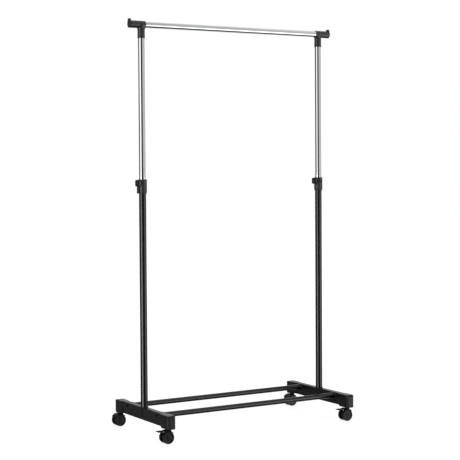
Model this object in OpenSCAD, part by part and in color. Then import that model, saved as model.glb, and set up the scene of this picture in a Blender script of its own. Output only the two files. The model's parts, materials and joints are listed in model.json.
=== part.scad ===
// Rolling clothes rack with telescoping posts, clamp knobs and twin-wheel casters.
// Origin on the floor, midway between the posts. X runs along the rail, +Z is up, front is -Y.

/* [Frame] */
// Distance between the two posts, axis to axis
post_span = 740; // [520:5:1000]
// Length of each foot, front to back
foot_len = 402; // [320:2:520]
// Distance from the end of a foot to a bottom rail's axis
rail_inset = 90; // [84:1:130]
// Height of the top rail's axis above the floor as set
top_rail_z = 1420; // [1300:5:1560]
// Height of the top of each lower post
lower_post_top = 882; // [700:2:1000]

/* [Tubes] */
// Outer diameter of the lower posts
lower_post_d = 25; // [22:0.5:30]
// Wall of the lower posts
lower_post_wall = 0.8; // [0.6:0.1:1.2]
// Gap round an upper post inside its lower post
telescope_gap = 0.4; // [0.35:0.05:0.8]
// Wall of the chrome tubes
chrome_wall = 0.8; // [0.6:0.1:1.2]
// Length of upper post that stays in the lower post as set
post_overlap = 241; // [200:1:320]
// Outer diameter of the bottom rails
bottom_rail_d = 19; // [14:0.5:20]
// Wall of the bottom rails
bottom_rail_wall = 0.9; // [0.6:0.1:1.2]

/* [Feet] */
// Width of a foot between its end pads
beam_w = 23; // [20:0.5:30]
// Width of an end pad
pad_w = 31; // [27:0.5:40]
// Length of an end pad
pad_len = 52; // [40:1:70]
// Height of a foot at its end pads
foot_h = 46; // [38:0.5:55]
// Rise of the underside between the end pads
arch_rise = 3.5; // [1:0.5:8]
// Radius of the pads' upright corners
pad_corner_r = 7; // [2:0.5:9]
// Radius of the top edge at each end of a foot
nose_r = 10; // [3:0.5:14]
// Wall of the moulded feet
foot_wall = 2.6; // [2:0.1:4]
// Height of the bottom rails' axis above the pads' underside
rail_rise = 34.5; // [28:0.5:38]
// Thickness of a foot's top
foot_roof_t = 4.2; // [3:0.1:6]
// Wall of the boss that holds a post
post_boss_wall = 1.75; // [1.5:0.25:6]
// Wall of the boss round a bottom rail
rail_boss_wall = 2; // [1.5:0.25:3.5]
// Height of a post's seat above the pads' underside
post_seat_rise = 15.5; // [12:0.5:20]

/* [Casters] */
// Diameter of a caster wheel
wheel_d = 42; // [35:1:60]
// Width of one wheel
wheel_w = 11; // [8:0.5:16]
// Thickness of the hood's web between the wheels
web_t = 10.4; // [9.5:0.1:14]
// Distance from the swivel axis back to the axle
trail = 10; // [8:0.5:16]
// Gap between the top of the wheels and the underside of the pad
pad_over_wheel = 6; // [5:0.5:12]
// Distance from the end of a foot to the swivel axis
caster_inset = 20; // [18:0.5:30]
// Diameter of the swivel stem
stem_d = 7.8; // [6:0.1:8]
// Diameter of the axle
axle_d = 5; // [4:0.1:6]
// Outer diameter of the neck round the stem
neck_d = 15; // [12:0.5:18]
// Radial thickness of the hood's fender
fender_t = 1.8; // [1.2:0.1:3]
// Reach of the brake pedal from the swivel axis
pedal_reach = 46; // [42:0.5:52]
// Width of the brake pedal
pedal_w = 22; // [16:0.5:30]

/* [Collars and knobs] */
// Wall of a height collar
collar_wall = 3; // [2:0.25:5]
// Length of a height collar below the top of the lower post
collar_skirt = 45; // [32:1:60]
// Thickness of the collar's lip above the lower post
collar_lip = 4.5; // [3:0.5:8]
// Distance of the clamp screw below the top of the lower post
clamp_drop = 8.5; // [7:0.5:14]
// Direction of the clamp knobs, turned about the post from +X
knob_turn = 195; // [0:5:355]
// Width of the knob's square hub
knob_w = 23; // [16:0.5:26]
// Corner radius of the knob's hub
knob_corner_r = 6; // [2:0.5:8]
// Depth of the knob's hub
knob_depth = 6.4; // [5:0.2:12]
// Length of the knob's wing from its axis
wing_len = 36; // [22:1:40]
// Diameter of the clamp screw
clamp_screw_d = 6; // [5:0.5:8]

/* [Top corners] */
// Wall of the tee's barrel round the top rail
tee_barrel_wall = 1.7; // [1.2:0.1:3]
// Wall of the tee's sleeve round the upper post
tee_sleeve_wall = 1.4; // [1:0.1:3]
// Depth of the sleeve below the top rail's axis
tee_drop = 47; // [35:1:70]
// Reach of the barrel towards the middle of the rack
tee_inboard = 14.5; // [13:0.5:30]
// Reach of the barrel away from the middle of the rack
tee_outboard = 43; // [30:1:60]
// Thickness of an end cap's flange
cap_t = 4.6; // [3:0.2:8]
// Height of the hanger stop above the top rail's axis
stop_rise = 20; // [16:0.5:30]

/* [Fits] */
// Radial clearance of pieces that are pushed together
push_fit = 0.05; // [0.02:0.01:0.1]
// Radial clearance of pieces that turn or slide
run_fit = 0.08; // [0.03:0.01:0.1]
// Free gap between pieces that move past each other
free_gap = 0.4; // [0.3:0.05:0.8]

/* [Hidden] */
$fn = 72;
over = 1;                       // how far a cut runs past the face that it opens
corner_names = [["left", -1], ["right", 1]];
caster_names = [["front_left", -1, -1], ["front_right", 1, -1], ["back_left", -1, 1], ["back_right", 1, 1]];

// Floor to pad, and the heights that follow from it
wheel_r = wheel_d / 2;
pad_z = wheel_d + pad_over_wheel;
arch_z = pad_z + arch_rise;
foot_top = pad_z + foot_h;
rail_z = pad_z + rail_rise;
seat_z = pad_z + post_seat_rise;
half_foot = foot_len / 2;
half_span = post_span / 2;
rail_y = half_foot - rail_inset;
foot_roof_z = foot_top - foot_roof_t;
pad_blend = 10;                 // length over which a foot widens to its end pad
blend_end = 2;                  // where the widening ends, inside the pad
blend_join = 8;
min_corner_r = 0.5;
boss_proud = 1.5;               // how far a post's boss stands above the foot
rail_boss_sink = 0.6;           // how far a rail's boss ends inside the outer side
rib_t = 2;
rib_drop = 3;                   // how far the ribs stay above the underside
rib_shares = [0.28, 0.62];      // ribs' places between the post and a bottom rail

// Tubes
upper_post_d = lower_post_d - 2 * lower_post_wall - 2 * telescope_gap;
lower_bore_d = lower_post_d - 2 * lower_post_wall;
chrome_bore_d = upper_post_d - 2 * chrome_wall;
rail_bore_d = bottom_rail_d - 2 * bottom_rail_wall;
tee_web = 3.4;                  // plastic left between a post's socket and the rail's bore
upper_post_top = top_rail_z - upper_post_d / 2 - tee_web;
upper_post_bottom = lower_post_top - post_overlap;
plug_reach = 16;                // length of a plug inside its tube
guide_len = 12;                 // length of the guide that runs in the lower post
cap_rim = 0.4;                  // how far an end cap's flange stands outside the barrel
stop_r = 8.5;

// Bottom rails in the feet
socket_floor_t = 4;             // plastic left outside a rail's end
rail_end_x = half_span + beam_w / 2 - socket_floor_t - push_fit;
rail_screw_d = 4;
rail_screw_head_d = 8.5;
rail_screw_head_t = 2.6;
rail_screw_len = 20;
screw_sink = 0.5;               // overlap of a screw's shank and its head
drive_len = 5.2;                // cross recess in a screw's head
drive_w = 1;
drive_depth = 1.2;
rail_plug_len = 22;

// Post bolts
bolt_d = 8;
bolt_head_d = 13;
bolt_head_t = 5;
bolt_len = 30;
post_plug_len = 28;
bolt_recess_d = 15.5;
bolt_recess_t = 6;

// Casters
caster_y = half_foot - caster_inset;
web_step = 0.15;                // how far neck and fender stand out from the web's sides
wheel_y0 = web_t / 2 + web_step + free_gap;
wheel_cover = 1.8;              // plastic between a wheel's hub bore and its face
axle_play = 0.2;
axle_len = 2 * (wheel_y0 + wheel_w - wheel_cover - axle_play);
socket_wall = 1.2;
socket_flange_t = 1.2;
socket_len = 33;
neck_top = pad_z - socket_flange_t - free_gap;
socket_gap = 0.5;               // room above the sleeve and above the stem
stem_top = pad_z + socket_len - 2 * socket_gap;
stem_bottom = wheel_r + axle_d;
neck_bottom = wheel_r + 6;
web_r = wheel_r - 4.5;
web_drop = 3;                   // how far the web stays below the neck's top
fender_gap = 0.9;
fender_r = wheel_r + fender_gap;
fender_root = 6;                // depth of the fender's root inside the wheel's rim
fender_from = 38;               // fender's span, turned up from the front of the wheel
fender_to = 112;                // with a brake pedal
plain_fender_to = 150;
root_trim = 3;                  // how much earlier the fender's root starts and ends
brake_root_to = 131;
pedal_pivot_r = wheel_r + 4.2;  // brake pivot, measured from the axle
pedal_pivot_turn = 128;
pivot_x = -trail + pedal_pivot_r * cos(pedal_pivot_turn);
pivot_z = wheel_r + pedal_pivot_r * sin(pedal_pivot_turn);
pin_d = 3;
lug_r = 3.2;
lug_w = web_t - 0.6;
cheek_t = 3;
cheek_rim = 0.4;                // how far a cheek stands outside the hood's lug
cheek_reach = 6;
pedal_t = 2.8;
pedal_rise = 0.6;               // underside of the pedal above its pivot
shoe_r = 2.6;
shoe_arm = 4;
shoe_turn = pedal_pivot_turn + 90;
rim_chamfer = 1.6;
face_inset = 5;                 // rim left round a wheel's recessed face
face_depth = 1.2;
cap_r = 6;

// Collars, clamp and knob
clamp_z = lower_post_top - clamp_drop;
collar_bottom = lower_post_top - collar_skirt;
collar_d = lower_post_d + 2 * collar_wall;
collar_taper = 5.5;
collar_foot_wall = 1.4;
collar_edge = 1;
clamp_hole_d = 10;
clamp_pad_d = 9;
clamp_pad_t = 1.1;
clamp_travel = 1;
nut_play = 0.2;                 // pad to nut when the pad is drawn right back
boss_cover = 1.2;               // plastic outside the nut
knob_gap = 0.3;
knob_cover = 2;                 // plastic over the screw's end
wing_inset = 0.4;               // how far the wing lies below the hub's face
nut_af = 10;
nut_t = 2.8;
pad_r0 = upper_post_d / 2 + run_fit;               // inner face of the pressure pad
screw_r0 = pad_r0 + clamp_pad_t + push_fit;
nut_r0 = pad_r0 + clamp_pad_t + clamp_travel + nut_play;
boss_r = nut_r0 + nut_t + push_fit + boss_cover;
boss_d = 18.6;
knob_r0 = boss_r + knob_gap;
wing_t = 4.4;
wing_w = 7;

// ---- helpers ----

// Tube along Z
module tube(d, bore, h) {
  difference() {
    cylinder(d = d, h = h);
    translate([0, 0, -over]) cylinder(d = bore, h = h + 2 * over);
  }
}

// Flat rectangle with round corners
module round_rect(w, l, r) {
  square([w - 2 * r, l], center = true);
  square([w, l - 2 * r], center = true);
  for (x = [-1, 1], y = [-1, 1]) translate([x * (w / 2 - r), y * (l / 2 - r)]) circle(r);
}

// Hexagon prism by the distance across its flats
module hexagon(af, h) cylinder(d = af / cos(30), h = h, $fn = 6);

// Turns children, modelled along +Z, to point along +X
module along_x() rotate([0, 90, 0]) children();

// Moves children to a post; the left one is the mirror image of the right
module mirrored_at(side) mirror([side < 0 ? 1 : 0, 0, 0]) translate([half_span, 0, 0]) children();

// Moves children to a post without turning them
module placed_at(side) translate([side * half_span, 0, 0]) children();

// Moves children to the clamp screw's axis: +Z there points out of the post
module at_clamp(side) placed_at(side) translate([0, 0, clamp_z])
  rotate([0, 0, knob_turn]) rotate([0, 90, 0]) children();

// Moves children to a caster's swivel axis, on the floor
module at_caster(side, end) translate([side * half_span, end * caster_y, 0]) children();

// Moves children to a caster's axle: +Z there runs along it
module at_axle() translate([-trail, 0, wheel_r]) rotate([90, 0, 0]) children();

// ---- feet and bottom rails ----

// Outline of a foot from above, shrunk by a wall
module foot_plan(wall) {
  beam_x = beam_w / 2 - wall;
  pad_x = pad_w / 2 - wall;
  pad_start = half_foot - pad_len;
  square([2 * beam_x, foot_len - pad_len], center = true);
  for (e = [-1, 1]) {
    translate([0, e * (half_foot - pad_len / 2)])
      round_rect(pad_w - 2 * wall, pad_len - 2 * wall, max(pad_corner_r - wall, min_corner_r));
    scale([1, e]) polygon([
      [-beam_x, pad_start - pad_blend], [beam_x, pad_start - pad_blend],
      [pad_x, pad_start + blend_end], [pad_x, pad_start + blend_join],
      [-pad_x, pad_start + blend_join], [-pad_x, pad_start + blend_end]]);
  }
}

// Outline of a foot from the side, as Y and Z
module foot_profile() {
  difference() {
    union() {
      translate([-half_foot, pad_z]) square([foot_len, foot_h - nose_r]);
      translate([-half_foot + nose_r, pad_z]) square([foot_len - 2 * nose_r, foot_h]);
      for (e = [-1, 1]) translate([e * (half_foot - nose_r), foot_top - nose_r]) circle(nose_r);
    }
    polygon([
      [-half_foot + pad_len, pad_z - over], [-half_foot + pad_len + arch_rise, arch_z],
      [half_foot - pad_len - arch_rise, arch_z], [half_foot - pad_len, pad_z - over]]);
  }
}

// Moulded beam, open underneath, with bosses for the post, the rails and the casters
module foot(side) {
  color([0.09, 0.09, 0.10]) mirrored_at(side) difference() {
    union() {
      difference() {
        intersection() {
          translate([0, 0, pad_z - over]) linear_extrude(foot_h + 2 * over) foot_plan(0);
          rotate([90, 0, 90]) translate([0, 0, -pad_w]) linear_extrude(2 * pad_w) foot_profile();
        }
        translate([0, 0, pad_z - over]) linear_extrude(foot_roof_z - pad_z + over) foot_plan(foot_wall);
      }
      translate([0, 0, seat_z - post_boss_wall])
        cylinder(d = lower_post_d + 2 * post_boss_wall, h = foot_top + boss_proud - seat_z + post_boss_wall);
      translate([0, 0, arch_z]) cylinder(d = bolt_recess_d + 2 * foot_wall, h = seat_z - arch_z);
      for (e = [-1, 1]) {
        translate([-pad_w / 2, e * rail_y, rail_z]) along_x()
          cylinder(d = bottom_rail_d + 2 * rail_boss_wall, h = pad_w / 2 + beam_w / 2 - rail_boss_sink);
        translate([0, e * caster_y, pad_z])
          cylinder(d = stem_d + 2 * (run_fit + socket_wall + foot_wall), h = foot_roof_z - pad_z + over);
        for (share = rib_shares)
          translate([-beam_w / 2 + over, e * share * rail_y - rib_t / 2, arch_z + rib_drop])
            cube([beam_w - 2 * over, rib_t, foot_roof_z - arch_z - rib_drop + over]);
      }
    }
    translate([0, 0, seat_z]) cylinder(d = lower_post_d + 2 * push_fit, h = foot_h);
    translate([0, 0, arch_z - over]) cylinder(d = bolt_d + 2 * push_fit, h = foot_h);
    translate([0, 0, arch_z - over]) cylinder(d = bolt_recess_d, h = bolt_recess_t + over);
    for (e = [-1, 1]) {
      translate([-pad_w / 2 - over, e * rail_y, rail_z]) along_x()
        cylinder(d = bottom_rail_d + 2 * push_fit, h = rail_end_x + push_fit - half_span + pad_w / 2 + over);
      translate([-pad_w / 2, e * rail_y, rail_z]) along_x()
        cylinder(d = rail_screw_d + 2 * push_fit, h = pad_w);
      translate([0, e * caster_y, pad_z - over])
        cylinder(d = stem_d + 2 * (run_fit + socket_wall + push_fit), h = socket_len + over);
    }
  }
}

// Black tube between the two feet
module bottom_rail(end) {
  color([0.10, 0.10, 0.11]) translate([-rail_end_x, end * rail_y, rail_z]) along_x()
    tube(bottom_rail_d, rail_bore_d, 2 * rail_end_x);
}

// Four plugs, one in each end of the bottom rails
module rail_end_plugs() {
  color([0.75, 0.74, 0.70]) for (s = [-1, 1], e = [-1, 1])
    translate([s * rail_end_x, e * rail_y, rail_z]) rotate([0, -s * 90, 0])
      tube(rail_bore_d - 2 * push_fit, rail_screw_d + 2 * push_fit, rail_plug_len);
}

// Four pan-head screws, through the feet into the plugs
module rail_screws() {
  color([0.35, 0.35, 0.37]) for (s = [-1, 1], e = [-1, 1])
    translate([s * (half_span + beam_w / 2), e * rail_y, rail_z]) rotate([0, s * 90, 0]) {
      difference() {
        cylinder(d = rail_screw_head_d, h = rail_screw_head_t);
        for (a = [0, 90]) rotate([0, 0, a])
          translate([-drive_len / 2, -drive_w / 2, rail_screw_head_t - drive_depth])
            cube([drive_len, drive_w, drive_depth + over]);
      }
      translate([0, 0, -rail_screw_len]) cylinder(d = rail_screw_d, h = rail_screw_len + screw_sink);
    }
}

// ---- posts ----

// Black tube that stands in the foot; the pressure pad reaches through its side
module lower_post(side) {
  color([0.07, 0.07, 0.08]) difference() {
    placed_at(side) translate([0, 0, seat_z + push_fit])
      tube(lower_post_d, lower_bore_d, lower_post_top - seat_z - push_fit);
    at_clamp(side) cylinder(d = clamp_hole_d, h = lower_post_d);
  }
}

// Nut-like plug in the bottom of a lower post
module post_plug(side) {
  color([0.75, 0.74, 0.70]) placed_at(side) translate([0, 0, seat_z + push_fit])
    tube(lower_bore_d - 2 * push_fit, bolt_d + 2 * push_fit, post_plug_len);
}

// Hexagon bolt from under the foot into the post's plug
module post_bolt(side) {
  color([0.6, 0.6, 0.62]) placed_at(side) translate([0, 0, arch_z + bolt_recess_t - bolt_head_t]) {
    hexagon(bolt_head_d, bolt_head_t - push_fit);
    cylinder(d = bolt_d, h = bolt_len);
  }
}

// Chrome tube that slides in the lower post
module upper_post(side) {
  color([0.80, 0.80, 0.82]) placed_at(side) translate([0, 0, upper_post_bottom])
    tube(upper_post_d, chrome_bore_d, upper_post_top - upper_post_bottom);
}

// Plug in the foot of an upper post; its flange runs in the lower post
module guide_plug(side) {
  color([0.75, 0.74, 0.70]) placed_at(side) translate([0, 0, upper_post_bottom - guide_len - push_fit]) {
    cylinder(d = lower_bore_d - 2 * run_fit, h = guide_len);
    cylinder(d = chrome_bore_d - 2 * push_fit, h = guide_len + plug_reach);
  }
}

// ---- top corners ----

// Chrome tube that the clothes hang on
module top_rail() {
  end_x = half_span + tee_outboard - push_fit;
  color([0.80, 0.80, 0.82]) translate([-end_x, 0, top_rail_z]) along_x()
    tube(upper_post_d, chrome_bore_d, 2 * end_x);
}

// Moulded tee: barrel round the rail, sleeve round the post
module top_tee(side) {
  bore = upper_post_d + 2 * push_fit;
  color([0.12, 0.12, 0.13]) mirrored_at(side) difference() {
    union() {
      translate([-tee_inboard, 0, top_rail_z]) along_x()
        cylinder(d = upper_post_d + 2 * tee_barrel_wall, h = tee_inboard + tee_outboard);
      translate([0, 0, top_rail_z - tee_drop])
        cylinder(d = upper_post_d + 2 * tee_sleeve_wall, h = tee_drop);
    }
    translate([-tee_inboard - over, 0, top_rail_z]) along_x()
      cylinder(d = bore, h = tee_inboard + tee_outboard + 2 * over);
    translate([0, 0, top_rail_z - tee_drop - over])
      cylinder(d = bore, h = upper_post_top + push_fit - top_rail_z + tee_drop + over);
  }
}

// Cap that closes the rail's end, with a stop that keeps hangers on
module end_cap(side) {
  color([0.12, 0.12, 0.13]) mirrored_at(side)
    translate([tee_outboard, 0, top_rail_z]) rotate([0, 90, 0]) {
      translate([0, 0, -plug_reach]) cylinder(d = chrome_bore_d - 2 * push_fit, h = plug_reach + over);
      cylinder(r = upper_post_d / 2 + tee_barrel_wall + cap_rim, h = cap_t);
      translate([-stop_rise + stop_r, 0, 0]) cylinder(r = stop_r, h = cap_t);
      translate([-stop_rise + stop_r, -stop_r, 0]) cube([stop_rise - stop_r, 2 * stop_r, cap_t]);
    }
}

// ---- height clamps ----

// Collar on the top of the lower post: its lip guides the upper post
module height_collar(side) {
  color([0.12, 0.12, 0.13]) difference() {
    union() {
      placed_at(side) translate([0, 0, collar_bottom]) {
        cylinder(d1 = lower_post_d + 2 * collar_foot_wall, d2 = collar_d, h = collar_taper);
        translate([0, 0, collar_taper])
          cylinder(d = collar_d, h = collar_skirt + collar_lip - collar_taper - collar_edge);
        translate([0, 0, collar_skirt + collar_lip - collar_edge])
          cylinder(d1 = collar_d, d2 = collar_d - 2 * collar_edge, h = collar_edge);
      }
      at_clamp(side) cylinder(d = boss_d, h = boss_r);
    }
    placed_at(side) translate([0, 0, collar_bottom - over])
      cylinder(d = lower_post_d + 2 * push_fit, h = collar_skirt + over);
    placed_at(side) translate([0, 0, collar_bottom])
      cylinder(d = upper_post_d + 2 * run_fit, h = collar_skirt + collar_lip + over);
    at_clamp(side) hexagon(nut_af + 4 * push_fit, nut_r0 + nut_t + push_fit);
    at_clamp(side) cylinder(d = clamp_screw_d + 2 * run_fit, h = boss_r + over);
  }
}

// Thin nut held in the collar
module clamp_nut(side) {
  color([0.6, 0.6, 0.62]) at_clamp(side) translate([0, 0, nut_r0]) difference() {
    hexagon(nut_af, nut_t);
    translate([0, 0, -over]) cylinder(d = clamp_screw_d + 2 * push_fit, h = nut_t + 2 * over);
  }
}

// Pressure pad that the screw drives against the upper post
module clamp_pad(side) {
  color([0.75, 0.74, 0.70]) at_clamp(side) translate([0, 0, pad_r0])
    cylinder(d = clamp_pad_d, h = clamp_pad_t);
}

// Screw that carries the knob
module clamp_screw(side) {
  color([0.6, 0.6, 0.62]) at_clamp(side) translate([0, 0, screw_r0])
    cylinder(d = clamp_screw_d, h = knob_r0 + knob_depth - knob_cover - screw_r0);
}

// Wing knob: the left wing hangs down, the right one lies level towards the front
module lock_knob(side) {
  color([0.08, 0.08, 0.09]) at_clamp(side) rotate([0, 0, side < 0 ? 0 : 90]) difference() {
    union() {
      translate([0, 0, knob_r0]) linear_extrude(knob_depth) round_rect(knob_w, knob_w, knob_corner_r);
      translate([0, -wing_w / 2, knob_r0 + knob_depth - wing_t])
        cube([wing_len - wing_w / 2, wing_w, wing_t - wing_inset]);
      translate([wing_len - wing_w / 2, 0, knob_r0 + knob_depth - wing_t])
        cylinder(d = wing_w, h = wing_t - wing_inset);
    }
    cylinder(d = clamp_screw_d + 2 * push_fit, h = knob_r0 + knob_depth - knob_cover + push_fit);
  }
}

// ---- casters ----

// Steel sleeve pressed up into the foot
module caster_socket(side, end) {
  bore = stem_d + 2 * run_fit;
  color([0.6, 0.6, 0.62]) at_caster(side, end) difference() {
    union() {
      translate([0, 0, pad_z - socket_flange_t])
        cylinder(d = bore + 2 * socket_wall, h = socket_len + socket_flange_t - socket_gap);
      translate([0, 0, pad_z - socket_flange_t]) cylinder(d = neck_d, h = socket_flange_t);
    }
    translate([0, 0, pad_z - 2 * socket_flange_t]) cylinder(d = bore, h = socket_len + 3 * socket_flange_t);
  }
}

// Stem that the hood hangs on and swivels round
module caster_stem(side, end) {
  color([0.7, 0.7, 0.72]) at_caster(side, end) translate([0, 0, stem_bottom])
    cylinder(d = stem_d, h = stem_top - stem_bottom);
}

// Part of a ring about the axle, between two angles turned up from +X
module fender_arc(r0, r1, from, to, w) {
  translate([-trail, w / 2, wheel_r]) rotate([90, 0, 0]) rotate([0, 0, from])
    linear_extrude(w) difference() {
      circle(r1);
      circle(r0);
      translate([-2 * r1, -4 * r1]) square([4 * r1, 4 * r1]);
      rotate(to - from) translate([-2 * r1, 0]) square([4 * r1, 4 * r1]);
    }
}

// Hood: web between the wheels, neck round the stem, fender over the wheels
module caster_hood(side, end, braked) {
  full_w = 2 * (wheel_y0 + wheel_w);
  color([0.06, 0.06, 0.07]) at_caster(side, end) difference() {
    union() {
      difference() {
        union() {
          translate([0, 0, neck_bottom]) cylinder(d = neck_d, h = neck_top - neck_bottom);
          fender_arc(fender_r - over, fender_r + fender_t, fender_from,
            braked ? fender_to : plain_fender_to, full_w);
        }
        for (m = [0, 1]) mirror([0, m, 0]) translate([-trail, web_t / 2 + web_step, wheel_r])
          rotate([-90, 0, 0]) cylinder(r = fender_r, h = wheel_w + 4 * free_gap);
      }
      at_axle() translate([0, 0, -web_t / 2]) cylinder(r = web_r, h = web_t);
      translate([-trail, -web_t / 2, wheel_r]) 
        cube([trail + web_t / 2, web_t, neck_top - wheel_r - web_drop]);
      fender_arc(wheel_r - fender_root, fender_r + fender_t / 2, fender_from + root_trim,
        braked ? brake_root_to : plain_fender_to - root_trim, web_t);
      if (braked) translate([pivot_x, lug_w / 2, pivot_z]) rotate([90, 0, 0])
        cylinder(r = lug_r, h = lug_w);
    }
    translate([0, 0, stem_bottom]) cylinder(d = stem_d + 2 * push_fit, h = pad_z);
    at_axle() translate([0, 0, -web_t]) cylinder(d = axle_d + 2 * push_fit, h = 2 * web_t);
    if (braked) translate([pivot_x, web_t, pivot_z]) rotate([90, 0, 0])
      cylinder(d = pin_d + 2 * push_fit, h = 2 * web_t);
  }
}

// Axle through the hood's web
module caster_axle(side, end) {
  color([0.6, 0.6, 0.62]) at_caster(side, end) at_axle() translate([0, 0, -axle_len / 2])
    cylinder(d = axle_d, h = axle_len);
}

// Wheel with a blind hub bore; face +1 is the one nearer the foot's end
module caster_wheel(side, end, face) {
  color([0.05, 0.05, 0.06]) at_caster(side, end) translate([-trail, 0, wheel_r])
    rotate([end * face > 0 ? -90 : 90, 0, 0]) translate([0, 0, wheel_y0]) difference() {
      union() {
        cylinder(r1 = wheel_r - rim_chamfer / 2, r2 = wheel_r, h = rim_chamfer / 2);
        translate([0, 0, rim_chamfer / 2]) cylinder(r = wheel_r, h = wheel_w - 1.5 * rim_chamfer);
        translate([0, 0, wheel_w - rim_chamfer])
          cylinder(r1 = wheel_r, r2 = wheel_r - rim_chamfer, h = rim_chamfer);
      }
      translate([0, 0, wheel_w - face_depth]) difference() {
        cylinder(r = wheel_r - face_inset, h = face_depth + over);
        cylinder(r = cap_r, h = face_depth + over);
      }
      translate([0, 0, -over]) cylinder(d = axle_d + 2 * run_fit, h = wheel_w - wheel_cover + over);
    }
}

// Pedal that rocks on the hood's lug and drops its shoes on the wheels
module brake_pedal(side) {
  inner = web_t / 2 + free_gap;
  color([0.07, 0.07, 0.08]) at_caster(side, -1) difference() {
    union() {
      for (m = [0, 1]) mirror([0, m, 0]) {
        translate([pivot_x, inner + cheek_t, pivot_z]) rotate([90, 0, 0])
          cylinder(r = lug_r + cheek_rim, h = cheek_t);
        translate([pivot_x + shoe_arm * cos(shoe_turn), inner + cheek_t,
          pivot_z + shoe_arm * sin(shoe_turn)]) rotate([90, 0, 0]) cylinder(r = shoe_r, h = cheek_t);
        translate([pivot_x - lug_r - cheek_reach, inner, pivot_z + pedal_rise])
          cube([lug_r + cheek_reach, cheek_t, pedal_t]);
      }
      translate([-pedal_reach, -pedal_w / 2, pivot_z + pedal_rise])
        cube([pedal_reach + pivot_x - lug_r - 2 * free_gap, pedal_w, pedal_t]);
    }
    translate([pivot_x, pedal_w, pivot_z]) rotate([90, 0, 0])
      cylinder(d = pin_d + 2 * run_fit, h = 2 * pedal_w);
  }
}

// Pin that the brake pedal rocks on
module brake_pin(side) {
  len = web_t + 2 * free_gap + 2 * cheek_t;
  color([0.6, 0.6, 0.62]) at_caster(side, -1) translate([pivot_x, len / 2, pivot_z])
    rotate([90, 0, 0]) cylinder(d = pin_d, h = len);
}

// ---- the model ----

bottom_rail(-1);  // front_bottom_rail
bottom_rail(1);  // back_bottom_rail
top_rail();
rail_end_plugs();
rail_screws();
for (c = corner_names) {
  foot(c[1]);
  lower_post(c[1]);
  post_plug(c[1]);
  post_bolt(c[1]);
  upper_post(c[1]);
  guide_plug(c[1]);
  top_tee(c[1]);
  end_cap(c[1]);
  height_collar(c[1]);
  clamp_nut(c[1]);
  clamp_pad(c[1]);
  clamp_screw(c[1]);
  lock_knob(c[1]);
  brake_pedal(c[1]);
  brake_pin(c[1]);
}
for (c = caster_names) {
  caster_socket(c[1], c[2]);
  caster_stem(c[1], c[2]);
  caster_hood(c[1], c[2], c[2] < 0);
  caster_axle(c[1], c[2]);
  caster_wheel(c[1], c[2], 1);
  caster_wheel(c[1], c[2], -1);
}
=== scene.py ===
import json
import math
import bpy
import numpy as np
from mathutils import Euler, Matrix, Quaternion, Vector


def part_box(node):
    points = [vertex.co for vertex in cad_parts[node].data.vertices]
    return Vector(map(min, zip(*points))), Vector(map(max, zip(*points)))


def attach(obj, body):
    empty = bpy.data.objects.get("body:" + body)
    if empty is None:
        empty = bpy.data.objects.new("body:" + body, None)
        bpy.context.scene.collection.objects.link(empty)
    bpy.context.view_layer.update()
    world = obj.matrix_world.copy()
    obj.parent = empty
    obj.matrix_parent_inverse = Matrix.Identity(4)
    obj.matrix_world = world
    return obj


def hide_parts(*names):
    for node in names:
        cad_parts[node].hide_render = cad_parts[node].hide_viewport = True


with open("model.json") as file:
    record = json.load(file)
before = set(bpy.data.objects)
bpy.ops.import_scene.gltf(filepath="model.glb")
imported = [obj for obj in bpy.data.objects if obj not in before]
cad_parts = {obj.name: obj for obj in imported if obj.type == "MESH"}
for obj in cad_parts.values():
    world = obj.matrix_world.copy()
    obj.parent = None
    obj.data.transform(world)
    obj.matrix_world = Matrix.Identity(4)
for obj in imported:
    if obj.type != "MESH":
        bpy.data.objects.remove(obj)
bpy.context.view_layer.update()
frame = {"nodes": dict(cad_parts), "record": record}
nodes = frame["nodes"]
mm = 0.001


def hexColour(code):
    parts = [int(code[i:i + 2], 16) / 255 for i in (1, 3, 5)]
    return [p / 12.92 if p <= 0.04045 else ((p + 0.055) / 1.055) ** 2.4 for p in parts] + [1.0]


def addNode(tree, kind, settings=None, links=None):
    node = tree.nodes.new(kind)
    for key, value in (settings or {}).items():
        if isinstance(key, str) and hasattr(node, key) and key not in node.inputs:
            setattr(node, key, value)
        else:
            node.inputs[key].default_value = value
    for key, socket in (links or {}).items():
        tree.links.new(socket, node.inputs[key])
    return node


def newFinish(name):
    finish = bpy.data.materials.new(name)
    finish.use_nodes = True
    tree = finish.node_tree
    tree.nodes.clear()
    place = addNode(tree, "ShaderNodeTexCoord").outputs["Object"]
    return finish, tree, place


def closeFinish(tree, shader):
    addNode(tree, "ShaderNodeOutputMaterial", links={"Surface": shader.outputs[0]})


def grainScale(size):
    return 1 / (size * mm)      # a noise cell of this many millimetres


# sizes in mm; the peel and the drawing lines are coarser than the real ones so that they show
paint = {"colour": "#0c0c0d", "worn": "#121213", "roughness": 0.22, "smoother": 0.04, "rougher": 0.05,
         "patch": 60, "peel": 1.6, "peelShare": 0.06, "peelHeight": 0.02, "ior": 1.52}
chrome = {"colour": "#dcdddf", "hazed": "#cfd0d2", "roughness": 0.05, "smoother": 0.02, "rougher": 0.03,
          "patch": 45, "line": 0.5, "lineShare": 0.004, "lineHeight": 0.002}


def patches(tree, place, size, detail):
    return addNode(tree, "ShaderNodeTexNoise", {"Scale": grainScale(size), "Detail": detail},
                   {"Vector": place})


def tinted(tree, patch, colour, other):
    mix = addNode(tree, "ShaderNodeMix", {"data_type": "RGBA", 6: hexColour(colour), 7: hexColour(other)},
                  {0: patch.outputs["Fac"]})
    return mix.outputs[2]


def glossed(tree, patch, roughness, smoother, rougher):
    low, high = roughness - smoother, roughness + rougher
    spread = addNode(tree, "ShaderNodeMapRange", {"To Min": low, "To Max": high},
                     {"Value": patch.outputs["Fac"]})
    return spread.outputs[0]


def bumped(tree, texture, share, height):
    bump = addNode(tree, "ShaderNodeBump", {"Strength": share, "Distance": height * mm},
                   {"Height": texture.outputs["Fac"]})
    return bump.outputs[0]


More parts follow.
